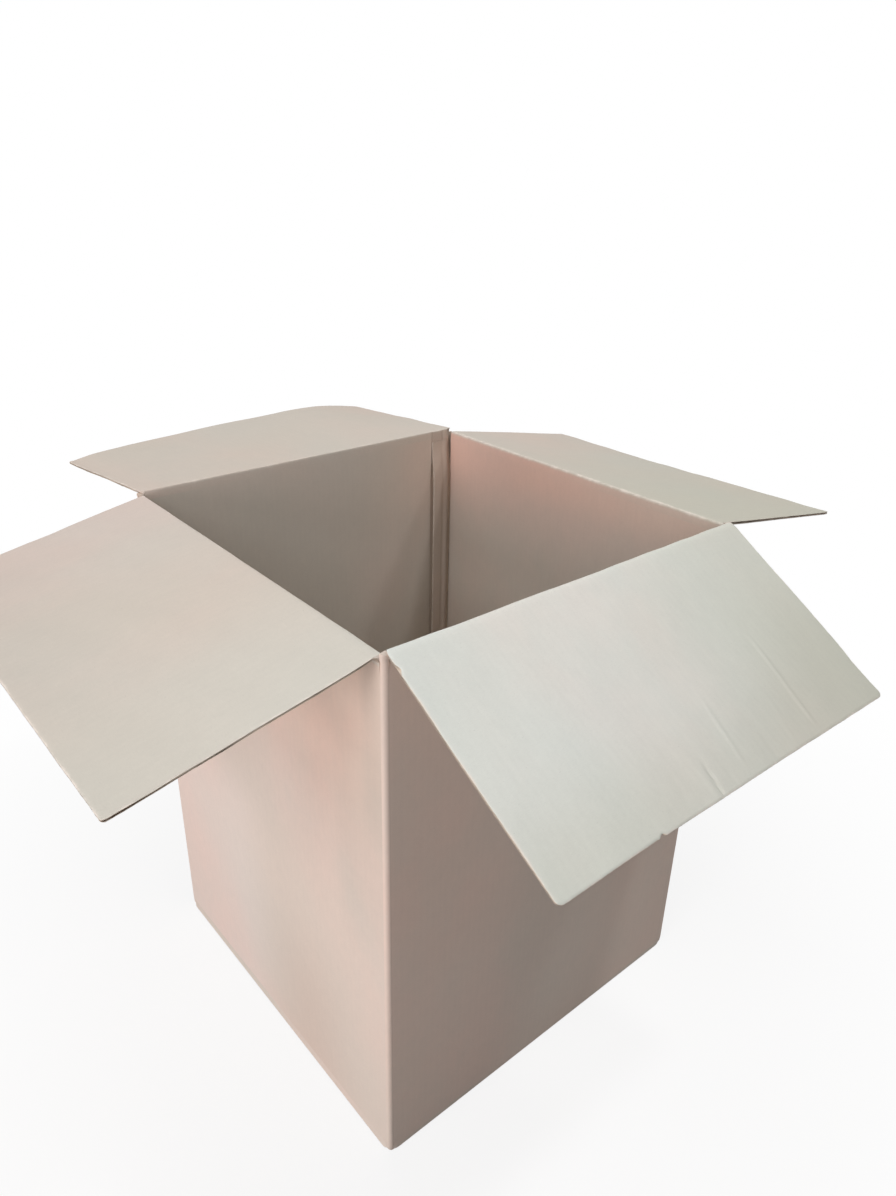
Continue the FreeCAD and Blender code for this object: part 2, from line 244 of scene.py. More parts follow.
class Shell:
    """The surfaces of one piece, gathered before its mesh is made."""

    def __init__(self):
        self.points, self.places, self.wear, self.tints = [], [], [], []
        self.faces, self.finishes = [], []
        self.count = 0

    def add(self, points, places, wear, tint):
        first = self.count
        shape = points.shape[:-1]
        self.points.append(points.reshape(-1, 3))
        self.places.append(places.reshape(-1, 3))
        self.wear.append(np.broadcast_to(wear, shape).reshape(-1))
        self.tints.append(np.broadcast_to(tint, (*shape, 3)).reshape(-1, 3))
        self.count += len(self.points[-1])
        return first

    def face(self, corners, finish):
        self.faces += np.asarray(corners).tolist()
        self.finishes += [finish] * len(corners)

    def sheet(self, low, high, low_place, high_place, finishes, wear=(0.0, 0.0), tint=(1.0, 1.0)):
        """A closed sheet between two grids of points. finishes are those of low, high and the rim."""
        n, m = low.shape[:2]
        first = self.add(low, low_place, wear[0], tint[0])
        above = self.add(high, high_place, wear[1], tint[1]) - first
        index = np.arange(n * m).reshape(n, m) + first
        a, b, c, d = (grid.ravel() for grid in (index[:-1, :-1], index[1:, :-1], index[1:, 1:], index[:-1, 1:]))
        ring = np.concatenate([index[:, 0], index[-1, 1:], index[-2::-1, -1], index[0, -2:0:-1]])
        following = np.roll(ring, -1)
        under = np.stack([a, d, c, b], 1)
        over = np.stack([a, b, c, d], 1) + above
        rim = np.stack([ring, following, following + above, ring + above], 1)
        i, j = n // 2, m // 2
        facing = np.cross(high[i, j] - high[i - 1, j], high[i, j] - high[i, j - 1]) @ (high[i, j] - low[i, j])
        if facing < 0:
            under, over, rim = under[:, ::-1], over[:, ::-1], rim[:, ::-1]
        for faces, finish in zip((under, over, rim), finishes):
            self.face(faces, finish)

    def swept(self, sections, places, finishes, wear, tint):
        """A closed section swept along a fold. sections is stations by corners; finishes has one per side."""
        n, m = sections.shape[:2]
        first = self.add(sections, places, wear, tint)
        index = np.arange(n * m).reshape(n, m) + first
        following = np.roll(index, -1, axis=1)
        ring = sections[n // 2] - sections[n // 2].mean(0)
        area = np.cross(ring, np.roll(ring, -1, axis=0)).sum(0)
        ahead = area @ (sections[-1].mean(0) - sections[0].mean(0)) > 0
        for side in range(m):
            faces = np.stack([index[:-1, side], index[1:, side], following[1:, side], following[:-1, side]], 1)
            self.face(faces[:, ::-1] if ahead else faces, finishes[side])
        for end in (index[0], index[-1][::-1]):
            self.face([end[::-1] if ahead else end], CUT)

    def make(self, name, materials, crease=35.0):
        mesh = bpy.data.meshes.new(name)
        mesh.from_pydata(np.concatenate(self.points).tolist(), [], self.faces)
        for material in materials:
            mesh.materials.append(material)
        mesh.polygons.foreach_set("material_index", self.finishes)
        for title, values in (("board_place", self.places), ("tint", self.tints)):
            mesh.attributes.new(title, "FLOAT_VECTOR", "POINT").data.foreach_set(
                "vector", np.concatenate(values).astype(np.float32).ravel())
        mesh.attributes.new("wear", "FLOAT", "POINT").data.foreach_set(
            "value", np.concatenate(self.wear).astype(np.float32))
        mesh.update()
        mesh.shade_smooth()
        mesh.set_sharp_from_angle(angle=math.radians(crease))
        return linked(name, mesh)


def near(gap, reach):
    """1 at an edge, easing to 0 at reach from it."""
    return np.clip(1 - gap / reach, 0, 1) ** 2


def pinched(gap):
    """How far the outer face rises and the inner face drops near a cut edge, for the distance to it."""
    crush = sizes().edge_crush
    return 1.35 * crush * near(gap, 0.0055), 0.3 * crush * near(gap, 0.0025)


PULL_REACH = 0.025  # how far from a cut edge the panel's grid is moved with it
FLUTE_RECESS = 0.0002  # how much shorter the fluting is than the liners
OUTSIDE, INSIDE, FLUTING, CUT = range(4)


def nothing(*at):
    return 0.0 * at[0]


def even(across, along):
    return sizes().board + 0 * across


def white(across, along):
    return np.ones((*np.shape(across), 3))


@dataclass
class Board:
    """A panel of corrugated board: two liners and the fluting between them, cut to an outline.

    put(across, along, height) gives points of the panel, height being that above its outer face. across runs
    along the fold from -half to half, along runs with the flutes from start to depth."""

    put: object
    half: float
    start: float
    depth: float
    seed: int
    patch: tuple
    step: float
    cut_low: object = nothing
    cut_high: object = nothing
    cut_free: object = nothing
    lift: object = nothing
    relief: object = nothing
    thickness: object = even
    tints: tuple = (white, white)
    start_is_cut: bool = False
    free_is_cut: bool = True

    def outlined(self, across, along):
        """The grid pulled in to the cut outline."""
        s, t = np.meshgrid(across, along, indexing="ij")
        rough, rough_high, rough_free = (amount * wander(at, 0 * at, self.seed + k, 0.05, 0.003, 9)
                                         for k, at, amount in ((1, t, 0.00012), (2, t, 0.00012), (3, s, 0.00014)))
        low, high, free = (near(gap, PULL_REACH) for gap in (s + self.half, self.half - s, self.depth - t))
        return (s + (self.cut_low(t) + rough) * low - (self.cut_high(t) + rough_high) * high,
                t - (self.cut_free(s) + rough_free) * free, s, t)

    def edge_gap(self, s, t):
        """Distance to the nearest cut edge."""
        gap = np.minimum(s + self.half, self.half - s)
        gap = np.minimum(gap, self.depth - t) if self.free_is_cut else gap
        return np.minimum(gap, t - self.start) if self.start_is_cut else gap

    def heights(self, s, t, across, along):
        """Heights of the outer and inner faces: pinched at the cut edges, and lifted and wrinkled."""
        uneven = 1 + 0.2 * wander(across + along, across - along, self.seed + 4, 0.08, 0.006, 8)
        lift, thickness = self.lift(across, along), self.thickness(across, along)
        rise, drop = (np.minimum(pinch * uneven, 0.5 * thickness) for pinch in pinched(self.edge_gap(s, t)))
        return lift + rise, lift + thickness + self.relief(across, along) - drop

    def sheet(self, shell, across, along, heights, levels, kinds, wear=0.0, tint=1.0):
        """Adds one paper to the shell, at two heights. levels are its heights in the paper's pattern."""
        points = [self.put(across, along, height) for height in heights]
        places = [stacked(across + self.patch[0], along + self.patch[1], level) for level in levels]
        shell.sheet(*points, *places, kinds, (wear, wear), (tint, tint))

    def make(self, name):
        shell, size = Shell(), sizes()
        across, along, s, t = self.outlined(
            spaced(-self.half, self.half, self.step), spaced(self.start, self.depth, self.step * 1.3,
                                                             self.start_is_cut))
        outer, inner = self.heights(s, t, across, along)
        gap = self.edge_gap(s, t)
        bruise = wander(across, along, self.seed + 5, 0.06, 0.004, 9)
        wear = np.clip(np.exp(-gap / 0.0016) * (0.75 + 0.5 * bruise), 0, 1)
        skins = ((outer, outer + size.liner, (OUTSIDE, FLUTING, CUT)),
                 (inner - size.liner, inner, (FLUTING, INSIDE, CUT)))
        for (low, high, kinds), tint in zip(skins, self.tints):
            self.sheet(shell, across, along, (low, high), (low, high), kinds, wear, tint(across, along))
        count = int(round(2 * self.half / (size.pitch / 10)))
        end = self.half - FLUTE_RECESS
        rows = spaced(self.start + FLUTE_RECESS * self.start_is_cut, self.depth - 2 * FLUTE_RECESS, 0.03,
                      self.start_is_cut)
        across, along, s, t = self.outlined(np.linspace(-end, end, count + 1), rows)
        outer, inner = self.heights(s, t, across, along)
        half_sheet = size.fluting / 2
        phase = across * 2 * math.pi / size.pitch + self.seed
        wave, slope = 0.5 + 0.5 * np.sin(phase), np.abs(np.cos(phase))
        low, high = outer + size.liner + half_sheet, inner - size.liner - half_sheet
        middle = low + np.maximum(high - low, 0) * wave
        thick = half_sheet * (1 + 0.9 * slope)
        self.sheet(shell, across, along, (middle - thick, middle + thick), (middle, middle), (FLUTING,) * 3)
        return shell.make(name, finishes())


# ---------------------------------------------------------------- materials

class Nodes:
    """Builds the node tree of a material or of the world, one call for each node."""

    def __init__(self, owner):
        owner.use_nodes = True
        self.owner, self.tree = owner, owner.node_tree

    def join(self, socket, value):
        if isinstance(value, bpy.types.NodeSocket):
            self.tree.links.new(value, socket)
        else:
            socket.default_value = value

    def add(self, kind, values=(), **settings):
        made = self.tree.nodes.new("ShaderNode" + kind)
        for setting, value in settings.items():
            setattr(made, setting, value)
        for key, value in dict(values).items():
            self.join(made.inputs[key], value)
        return made

    def maths(self, operation, *values, clamp=False):
        return self.add("Math", enumerate(values), operation=operation, use_clamp=clamp).outputs[0]

    def scaled(self, vector, scale):
        return self.add("VectorMath", {0: vector, 1: scale}, operation="MULTIPLY").outputs[0]

    def noise(self, vector, scale, detail=2.0, roughness=0.5):
        return self.add("TexNoise", {"Vector": self.scaled(vector, scale), "Scale": 1.0, "Detail": detail,
                                     "Roughness": roughness}).outputs["Fac"]

    def spread(self, value, low, high, to_low=0.0, to_high=1.0):
        return self.add("MapRange", {"Value": value, "From Min": low, "From Max": high, "To Min": to_low,
                                     "To Max": to_high}, interpolation_type="SMOOTHSTEP").outputs[0]

    def mix(self, share, one, other, blend="MIX"):
        return self.add("Mix", {0: share, 6: one, 7: other}, data_type="RGBA", blend_type=blend).outputs[2]

    def weighted(self, *pairs):
        """The sum of (weight, value) pairs."""
        total = None
        for weight, value in pairs:
            part = self.maths("MULTIPLY", value, weight)
            total = part if total is None else self.maths("ADD", total, part)
        return total

    def attribute(self, name, output="Vector"):
        return self.add("Attribute", attribute_name=name, attribute_type="GEOMETRY").outputs[output]

    def seen(self):
        """1 for the rays that see a thing as such, and 0 for those that only light another one."""
        rays = self.add("LightPath").outputs
        return self.maths("MAXIMUM", rays["Is Camera Ray"],
                          self.maths("MAXIMUM", rays["Is Glossy Ray"], rays["Is Transmission Ray"]))

    def set(self, node="Principled BSDF", **values):
        for key, value in values.items():
            self.join(self.tree.nodes[node].inputs[key.replace("_", " ")], value)


def colour(rgb, factor=1.0):
    return (*(min(1.0, channel * factor) for channel in rgb), 1.0)


def toned(rgb, *factors):
    return (*(min(1, channel * factor) for channel, factor in zip(rgb, factors)), 1.0)


def paper(name, rgb, flute_show, fibre_depth):
    """Kraft liner: pulp in clouds and blotches, fibres across the flutes, the flutes showing through faintly."""
    made = Nodes(bpy.data.materials.new(name))
    place = made.attribute("board_place")
    across = made.add("SeparateXYZ", {0: place}).outputs[0]
    clouds = made.noise(place, (3.1, 2.3, 3.1), 2.0)
    blotches = made.noise(place, (13.0, 9.0, 13.0), 3.0, 0.55)
    mottle = made.noise(place, (95.0, 60.0, 95.0), 4.0, 0.6)
    fibres = made.noise(place, (330.0, 1500.0, 900.0), 3.0, 0.6)
    stray = made.noise(place, (1900.0, 260.0, 900.0), 2.0, 0.5)
    grain = made.noise(place, (2600.0, 2600.0, 2600.0), 1.0)
    drift = made.noise(place, (22.0, 3.0, 3.0), 2.0)
    flutes = made.maths("SINE", made.maths("ADD", made.maths("MULTIPLY", across, 2 * math.pi / sizes().pitch),
                                           made.maths("MULTIPLY", drift, 2.0)))
    cool, warm = toned(rgb, 0.965, 1.0, 0.985), toned(rgb, 1.03, 0.985, 0.965)
    base = made.mix(made.spread(clouds, 0.36, 0.64), cool, warm)
    base = made.mix(made.spread(blotches, 0.35, 0.68, 0.0, 0.5), base, toned(rgb, 0.955, 0.985, 0.97))
    shades = (0.09, mottle), (0.10, fibres), (0.05, stray), (0.05, grain)
    light = made.weighted(*shades, (-flute_show, flutes))
    light = made.maths("ADD", light, 1.0 - 0.5 * sum(weight for weight, _ in shades))
    specks = made.spread(made.noise(place, (700.0, 1100.0, 700.0), 1.0), 0.735, 0.80, 0.0, 0.16)
    light = made.maths("SUBTRACT", light, specks)
    base = made.add("VectorMath", {0: base, 3: light}, operation="SCALE").outputs[0]
    base = made.add("VectorMath", {0: base, 1: made.attribute("tint")}, operation="MULTIPLY").outputs[0]
    # Rubbed paper: pale along edges and folds, with faint scuffs over the faces
    rub = made.noise(place, (240.0, 240.0, 240.0), 3.0, 0.6)
    worn = made.maths("ADD", made.attribute("wear", "Fac"), made.maths("MULTIPLY_ADD", rub, 0.7, -0.35))
    scuffs = made.spread(made.noise(place, (55.0, 420.0, 80.0), 3.0, 0.65), 0.66, 0.80, 0.0, 0.22)
    base = made.mix(made.maths("MAXIMUM", made.spread(worn, 0.25, 1.0, 0.0, 0.8), scuffs),
                    base, colour(colours().worn))
    height = made.weighted((fibre_depth, fibres), (0.5 * fibre_depth, stray), (0.4 * fibre_depth, grain),
                           (0.05, mottle), (0.10, blotches), (0.008, flutes))
    bump = made.add("Bump", {"Strength": 1.0, "Distance": MM, "Height": height}).outputs[0]
    made.set(Base_Color=base, Normal=bump, Roughness=made.spread(mottle, 0.3, 0.7, 0.82, 0.95))
    made.set(Specular_IOR_Level=0.28)
    return made.owner


def raw_paper(name, rgb, shows_layers):
    """Unbleached fluting paper, or a cut face of the board with its liners showing as pale lines."""
    made = Nodes(bpy.data.materials.new(name))
    place = made.attribute("board_place")
    height = made.add("SeparateXYZ", {0: place}).outputs[2]
    fibres = made.noise(place, (900.0, 900.0, 1500.0), 3.0, 0.6)
    blotches = made.noise(place, (60.0, 60.0, 60.0), 2.0)
    base = made.mix(blotches, colour(rgb, 0.86), colour(rgb, 1.1))
    if shows_layers:
        depth = made.maths("ABSOLUTE", made.maths("SUBTRACT", height, sizes().board / 2))
        rim = made.spread(depth, sizes().board / 2 - 0.0009, sizes().board / 2 - 0.0004)
        base = made.mix(rim, colour(rgb, 0.8), colour(colours().worn, 0.92))
    light = made.maths("MULTIPLY_ADD", fibres, 0.3, 0.85)
    base = made.add("VectorMath", {0: base, 3: light}, operation="SCALE").outputs[0]
    bump = made.add("Bump", {"Strength": 0.8, "Distance": 0.00008, "Height": fibres}).outputs[0]
    made.set(Base_Color=base, Normal=bump, Roughness=made.spread(fibres, 0.3, 0.7, 0.86, 0.97))
    made.set(Specular_IOR_Level=0.2)
    return made.owner


def film_tape(name):
    """Tan packing film: satin, with long rolling marks, trapped air and the board showing through."""
    made = Nodes(bpy.data.materials.new(name))
    place = made.attribute("board_place")
    ripple = made.noise(place, (6.0, 160.0, 1.0), 2.0)
    bubbles = made.spread(made.noise(place, (210.0, 260.0, 1.0), 2.0), 0.60, 0.72)
    flutes = made.noise(place, (90.0, 12.0, 1.0), 1.0)
    base = made.mix(made.spread(ripple, 0.3, 0.7), colour(colours().tape, 0.93), colour(colours().tape, 1.06))
    base = made.mix(made.maths("MULTIPLY", bubbles, 0.35), base, colour(colours().tape, 1.35))
    height = made.weighted((0.05, ripple), (0.07, bubbles), (0.04, flutes))
    bump = made.add("Bump", {"Strength": 0.7, "Distance": MM, "Height": height}).outputs[0]
    made.set(Base_Color=base, Normal=bump, Roughness=made.spread(bubbles, 0.0, 1.0, 0.24, 0.42))
    made.set(Specular_IOR_Level=0.5, Coat_Weight=0.3, Coat_Roughness=0.18)
    return made.owner


def finishes():
    """The board's materials, in the order of the finishes: outside, inside, fluting, cut."""
    names = ("kraft_outside", "kraft_inside", "fluting_paper", "cut_board")
    if names[0] not in bpy.data.materials:
        paper(names[0], colours().outside, 0.0035, 0.030)
        paper(names[1], colours().inside, 0.004, 0.024)
        raw_paper(names[2], colours().fluting, False)
        raw_paper(names[3], colours().fluting, True)
    return [bpy.data.materials[name] for name in names]


def dressed(piece, body, nodes=()):
    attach(piece, body)
    if nodes:
        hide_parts(*nodes)


# ---------------------------------------------------------------- walls

BASE_ROLL = 0.008  # height of the folded board at the foot of a wall
SLOT_RISE = 0.0072  # how far the bruised slot ends stand above the lower folds
SEAM_DROP = 0.0035  # how much lower the back wall's own cut edge ends, beside the tab
POST_SINK = 0.0044  # how far the upright corners stand below the inner pair of bottom flaps
POST_TUCK = 0.0030  # how far their feet turn in
POST_FLARE = 0.0026  # how far their tops turn out
BESIDE = 0.0001  # between two columns of points that share a slot's edge
COLUMN_STEP = 0.0115
FOOT_RADIUS = 0.003  # outside radius of the fold at the foot of a wall
FOOT_BULGE = 0.0016  # how far that fold stands out, and how far its ends are tucked in


def wall_top(side):
    """Where a wall's flat part ends and its fold begins."""
    return HINGES[side][2] - sizes().fold_reach


def base_level(side):
    """Underside of the bottom flap that a wall carries: the outer pair lies on the tape."""
    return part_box("bottom_tape")[1].z + (0 if side in ("front", "back") else sizes().board)


def post_foot():
    """Underside of the upright corners, which stand a little below the inner pair of bottom flaps."""
    return base_level("left") - POST_SINK


# The crushed tab: share of the way across from its free edge (-1) to the corner (1), height in millimetres
TAB_PROFILE = [(-1, 5.0), (-0.3, 4.9), (0, 4.5), (0.12, 3.7), (0.2, 4.6), (0.32, 5.0), (0.55, 4.8), (0.68, 3.8),
               (0.8, 1.6), (0.88, 1.3), (1, 1.3)]
TAB_SINK = 0.0045  # how deep the tab's top is pressed into the back wall
SEAM_STATIONS = np.array([-1.8, -0.9, -0.4, -0.1, 0.1, 0.6, 2, 6, 11, 14, 16.5, 18, 19, 20.4, 22.5, 26.4, 28.6,
                          30.6, 32]) * MM


def tab_edge():
    """How far across the back wall the free edge of the glued tab lies."""
    return BODY_TOP.x - sizes().board - sizes().tab_width


def tab_top():
    return HINGES["left"][2] - sizes().board - 0.0004


def tab_height(across):
    return through(TAB_PROFILE, 2 * (across - tab_edge()) / sizes().tab_width - 1) * MM


def tab_sink(level):
    return TAB_SINK * smooth((level - tab_top() + 0.055) / 0.05)


def carved(across, level):
    """How far the back wall gives way: behind the tab, and above it where the tab's ridges carry on."""
    inside = np.interp(across - tab_edge(), [-0.0009, -0.0004], [0, 1])
    above = np.where(across > tab_edge(), np.maximum(TAB_SINK - tab_height(across), -0.00045), 0.0014)
    return inside * np.where(level < tab_top() + 0.0002, tab_sink(level) + 0.0003, above)


def wall_columns():
    """Columns of the walls, going round from the glued corner: the wall's number, across, the outer and the inner
    face's point, and the heights of foot and top."""
    size = sizes()
    slot_end, foot, radius = HINGES["left"][2] + SLOT_RISE, post_foot(), size.corner
    columns = []

    def add_flat(side, stations, low, high):
        for s in stations:
            columns.append((NUMBERS[side], s, turned(side, s, 0, 0), turned(side, s, -size.board, 0), low, high))

    for side, following in zip(TURNS, [*TURNS][1:] + [None]):
        half, edge = HALF_WIDTHS[side], half_flap(side)
        across = spaced(-edge, edge, COLUMN_STEP)
        if side == "right":
            across[0] = -(half - size.board - 0.0006)
        if side == "back":
            across = np.sort(np.append(across, SEAM_STATIONS + tab_edge()))
        add_flat(side, across, base_level(side) + BASE_ROLL, wall_top(side))
        if side == "back":
            # The back wall's own cut edge, beside the fold of the glued tab
            add_flat(side, np.array([BESIDE, 0.002, 0.0035, 0.0050]) + edge, foot, slot_end - SEAM_DROP)
            continue
        next_edge = half_flap(following) + BESIDE
        centre, heading = turned(side, half - radius, -radius, 0), math.radians(TURNS[side] + 90)
        arc = [centre + radius * np.array([math.cos(heading - angle), math.sin(heading - angle), 0])
               for angle in np.linspace(0, math.pi / 2, 9)[1:-1]]
        outer = [turned(side, edge + BESIDE, 0, 0), turned(side, half - radius, 0, 0), *arc,
                 turned(following, -(HALF_WIDTHS[following] - radius), 0, 0), turned(following, -next_edge, 0, 0)]
        corner = turned(side, half - size.board, -size.board, 0)
        start = turned(side, edge + BESIDE, -size.board, 0)
        end = turned(following, -next_edge, -size.board, 0)
        middle = len(outer) // 2
        for k, point in enumerate(outer):
            inner = start + (corner - start) * k / middle if k <= middle \
                else corner + (end - corner) * (k - middle) / (len(outer) - 1 - middle)
            columns.append((NUMBERS[side], edge + BESIDE + 0.0012 * k, point, inner, foot, slot_end))
    return columns


def make_walls():
    size = sizes()
    numbers, s, outer, inner, low, high = (np.array(part) for part in zip(*wall_columns()))
    sides, s, low, high = numbers[:, None], s[:, None], low[:, None], high[:, None]
    back_foot = base_level("back") + BASE_ROLL
    ledge = (tab_top() + np.array([-0.043, -0.034, -0.024, -0.014, 0.0001, 0.0003]) - back_foot) \
        / (wall_top("back") - back_foot)
    rows = np.sort(np.concatenate([np.linspace(0, 0.03, 4)[:-1], np.linspace(0.03, 0.97, 30),
                                   np.linspace(0.97, 1, 3)[1:], ledge]))
    z = low + (high - low) * rows
    along = z - HINGES["front"][2]
    steps = np.linalg.norm(np.diff(outer[:, :2], axis=0, prepend=outer[:1, :2]), axis=1)
    across = np.cumsum(steps)[:, None] + 0 * z
    half = np.array([*HALF_WIDTHS.values()])[sides]
    share, rise = np.abs(s) / (half - size.inset), z / np.array([HINGES[side][2] for side in TURNS])[sides]
    bow = (1 - np.clip(share, 0, 1) ** 2) * np.sin(math.pi * np.clip(rise, 0, 1)) ** 0.8
    for number, side in enumerate(TURNS):
        own = numbers == number
        uneven = 0.75 + 0.5 * wander(s[own] + 0 * z[own], z[own], 40 + number, 0.7, 0.12, 6)
        bow[own] = bow[own] * size.wall_bow * uneven
    outward = np.array([turned(side, 0, 1, 0) - turned(side, 0, 0, 0) for side in TURNS])[sides]
    outer, inner = (face[:, None] + outward * bow[..., None] for face in (outer, inner))
    outer[..., 2] = inner[..., 2] = z
    at_corner = share > 1
    tuck = POST_TUCK * at_corner * near(z - post_foot(), 0.010)
    flare = POST_FLARE * at_corner * (sides != BACK) * smooth((z - HINGES["left"][2] + 0.004) / 0.010)
    middle = np.hypot(outer[..., 0], outer[..., 1])
    outer[..., :2] *= (1 + (flare - tuck) / middle)[..., None]
    inner[..., 1] += carved(s, z) * (sides == BACK)
    rub = wander(across, z, 61, 0.09, 0.006, 9)
    beside = half - np.abs(s)
    wear_out = np.clip(np.exp(-np.clip(beside - 0.001, 0, 1) / 0.0025) * (0.12 + 0.3 * rub)
                       + np.exp(-(z - 0.004) / 0.006) * (0.3 + 0.4 * rub), 0, 1)
    wear_in = np.clip(0.2 + 0.3 * rub, 0, 1) * np.exp(-np.clip(beside - 0.005, 0, 1) / 0.002)
    shell = Shell()
    # The outer face is the low one, the inner face the high one
    shell.sheet(outer, inner, stacked(across, along, 0.0), stacked(across, along, size.board),
                (OUTSIDE, INSIDE, INSIDE), (wear_out, wear_in),
                (outside_tone_and_painted_light(sides, s, z), inside_painted_light_and_shade(sides, s, z)))
    for side in TURNS:
        base_roll(shell, side)
    dressed(shell.make("carton_walls", finishes()), "carton", ["carton_body"])


def tinted(*parts):
    """White, changed by each (amount, red, green, blue)."""
    total = 1.0
    for amount, *rgb in parts:
        total = total * (1 + np.asarray(amount)[..., None] * np.array(rgb))
    return total


# Painted light and shade on the walls: the wall, where each patch comes in and goes out across the wall and in
# height, as (0 at, 1 at) or as (centre, width, "bump"), and the changes of red, green and blue
OUTSIDE_PAINTED_LIGHT = [
    # Painted warm light below the left flap, painted shade by its near corner, patches of painted light and shade
    # over the left wall, and a painted shadow on the front side of the near upright corner
    (LEFT, [], [(0.36, 0.58)], 0.15, 0.08, 0.04),
    (LEFT, [(-0.188, -0.218)], [(0.38, 0.48)], -0.17, -0.12, -0.11),
    (LEFT, [(-0.04, 0.07)], [(0.38, 0.29)], 0.08, 0.08, 0.11),
    (LEFT, [(-0.145, -0.175)], [(0.22, 0.34), (0.54, 0.50)], -0.07, -0.05, -0.05),
    (LEFT, [(-0.145, -0.170), (-0.212, -0.198)], [(0.52, 0.555)], 0.12, 0.11, 0.11),
    (LEFT, [(-0.05, 0.06, "bump")], [(0.42, 0.06, "bump")], 0.03, 0.055, 0.065),
    (LEFT, [(0.11, 0.05, "bump")], [(0.42, 0.06, "bump")], -0.045, -0.05, -0.055),
    (LEFT, [(-0.085, 0.07, "bump")], [(0.26, 0.10)], -0.035, -0.085, -0.10),
    (FRONT, [(0.227, 0.2274), (0.237, 0.2325)], [], -0.14, -0.14, -0.14),
]
INSIDE_PAINTED_LIGHT = [  # painted warm light on the right wall below its fold, strongest by the tab, and painted warm light that browns the back wall towards the tab and the tab itself
    (RIGHT, [(0.26, -0.20)], [(0.47, 0.60)], 0.15, -0.09, -0.12),
    (RIGHT, [(-0.06, -0.23)], [(0.50, 0.60)], 0.20, 0.19, 0.18),
    (RIGHT, [(-0.16, -0.04)], [(0.545, 0.595)], 0.10, 0.03, 0.00),
    (BACK, [(0.02, 0.19)], [(0.42, 0.62)], 0.05, 0.0, -0.04),
]


def painted_light_patches(painted_patches, sides, s, z):
    """The product of a wall's patches of painted light and shade at places across it and in height."""
    parts = []
    for wall, across, up, *rgb in painted_patches:
        amount = 1.0 * (sides == wall)
        for x, stops in ((s, across), (z, up)):
            for a, b, *bump in stops:
                amount = amount * (np.exp(-((x - a) / b) ** 2) if bump else smooth((x - a) / (b - a)))
        parts.append((amount, *rgb))
    return tinted(*parts)


def outside_tone_and_painted_light(sides, s, z):
    """Painted light and shade on the outer liner, warmest below the left flap, and slow clouds of the paper's own
    tone.
    """
    cloud = 0.5 + 0.5 * wander(s, z, 62, 0.9, 0.25, 5)
    return painted_light_patches(OUTSIDE_PAINTED_LIGHT, sides, s, z) * tinted((0.04 * cloud, 1.0, -0.3, -0.7))


def inside_painted_light_and_shade(sides, s, z):
    # Painted light on the inner liner from the list above, and painted shade that darkens the back wall where the
    # glued tab lies in the corner, and the tab with it, most towards the top
    tab = (s > tab_edge()) * (sides == BACK)
    return painted_light_patches(INSIDE_PAINTED_LIGHT, sides, s, z) * tinted(
        (tab, -0.03, -0.06, -0.07), (tab * smooth((z - 0.44) / 0.12), -0.09, -0.08, -0.08))


def base_roll(shell, side):
    """The folded board at the foot of a wall, from the wall's flat part to its bottom flap."""
    size = sizes()
    edge, level, radius = half_flap(side), base_level(side), FOOT_RADIUS
    section = [(0, BASE_ROLL)]
    # The heel of the fold: the walls that carry the inner pair of bottom flaps reach down beside the outer pair
    heel = size.board - 0.0005 if side in ("left", "right") else 0.0
    section += [(radius - radius * math.cos(a), radius - radius * math.sin(a) - heel)
                for a in np.linspace(0, math.pi / 2, 7)]
    section += [(size.board, -0.6 * heel), (size.inset, 0), (2 * size.fold_reach, 0),
                (2 * size.fold_reach, size.board), (size.board, size.board), (size.board, BASE_ROLL)]
    inward, up = np.array(section).T
    across = spaced(-edge, edge, 0.02)[:, None] + 0 * inward
    bulge = FOOT_BULGE * np.clip(-up / size.board, 0, 1) * (inward < size.board / 2)
    ends = near(edge - np.abs(across), 0.007) * np.clip(1 - up / BASE_ROLL, 0, 1)
    sections = turned(side, across, bulge - inward - FOOT_BULGE * ends, level + up + (0.0018 + 0.25 * heel) * ends)
    along = level + up - inward
    places = stacked(across + PATCH_STEP * NUMBERS[side], along[None, :] - HINGES["front"][2], 0.1 * MM)
    rub = wander(across, along[None, :], 66, 0.08, 0.006, 9)
    wear = np.clip(0.35 + 0.4 * rub, 0, 1) * np.exp(-np.abs(along[None, :]) / 0.006)
    kinds = [OUTSIDE] * 10 + [CUT, INSIDE, INSIDE, CUT]
    shell.swept(sections, places, kinds, wear, 1.0)


def flap_depth(side):
    """From the outer face of a flap's wall to the flap's free edge when it is shut."""
    if side in ("front", "back"):
        return BODY_TOP.y - sizes().outer_seam / 2
    return BODY_TOP.x - sizes().inner_seam / 2


def make_bottom_flaps():
    for number, side in enumerate(TURNS):
        def put(across, along, height, side=side):
            return turned(side, across, -along, base_level(side) + height)

        board = Board(put, half_flap(side), 2 * sizes().fold_reach, flap_depth(side), 100 + 10 * number,
                      (PATCH_STEP * number, -0.62), 0.012)
        dressed(board.make(f"bottom_flap_{side}"), "carton", ["carton_body"])


def make_tab():
    """The tab that carries on from the right wall, glued inside the back wall and crushed where it turns."""
    size = sizes()
    free, corner = tab_edge(), BODY_TOP.x - size.board - 0.0002
    low, high = base_level("left") + size.board + 0.0015, tab_top()
    middle, half = (free + corner) / 2, (corner - free) / 2

    def put(across, along, height):
        return turned("back", across + middle, -size.board - height, along)

    # The tab takes the back wall's painted light and the painted shade of its corner
    def shade(across, along):
        return inside_painted_light_and_shade(BACK, across + middle, along)

    board = Board(put, half, low, high, 210, (0.30, -0.616), 0.0024, lift=lambda across, along: -tab_sink(along),
                  thickness=lambda across, along: tab_height(across + middle), tints=(shade, shade),
                  start_is_cut=True, free_is_cut=False)
    dressed(board.make("glue_tab"), "carton")


# ---------------------------------------------------------------- top flaps and their folds

def droop(side, across):
    return np.radians(through(DROOPS[side], np.clip(across / (2 * half_flap(side)) + 0.5, 0, 1)))


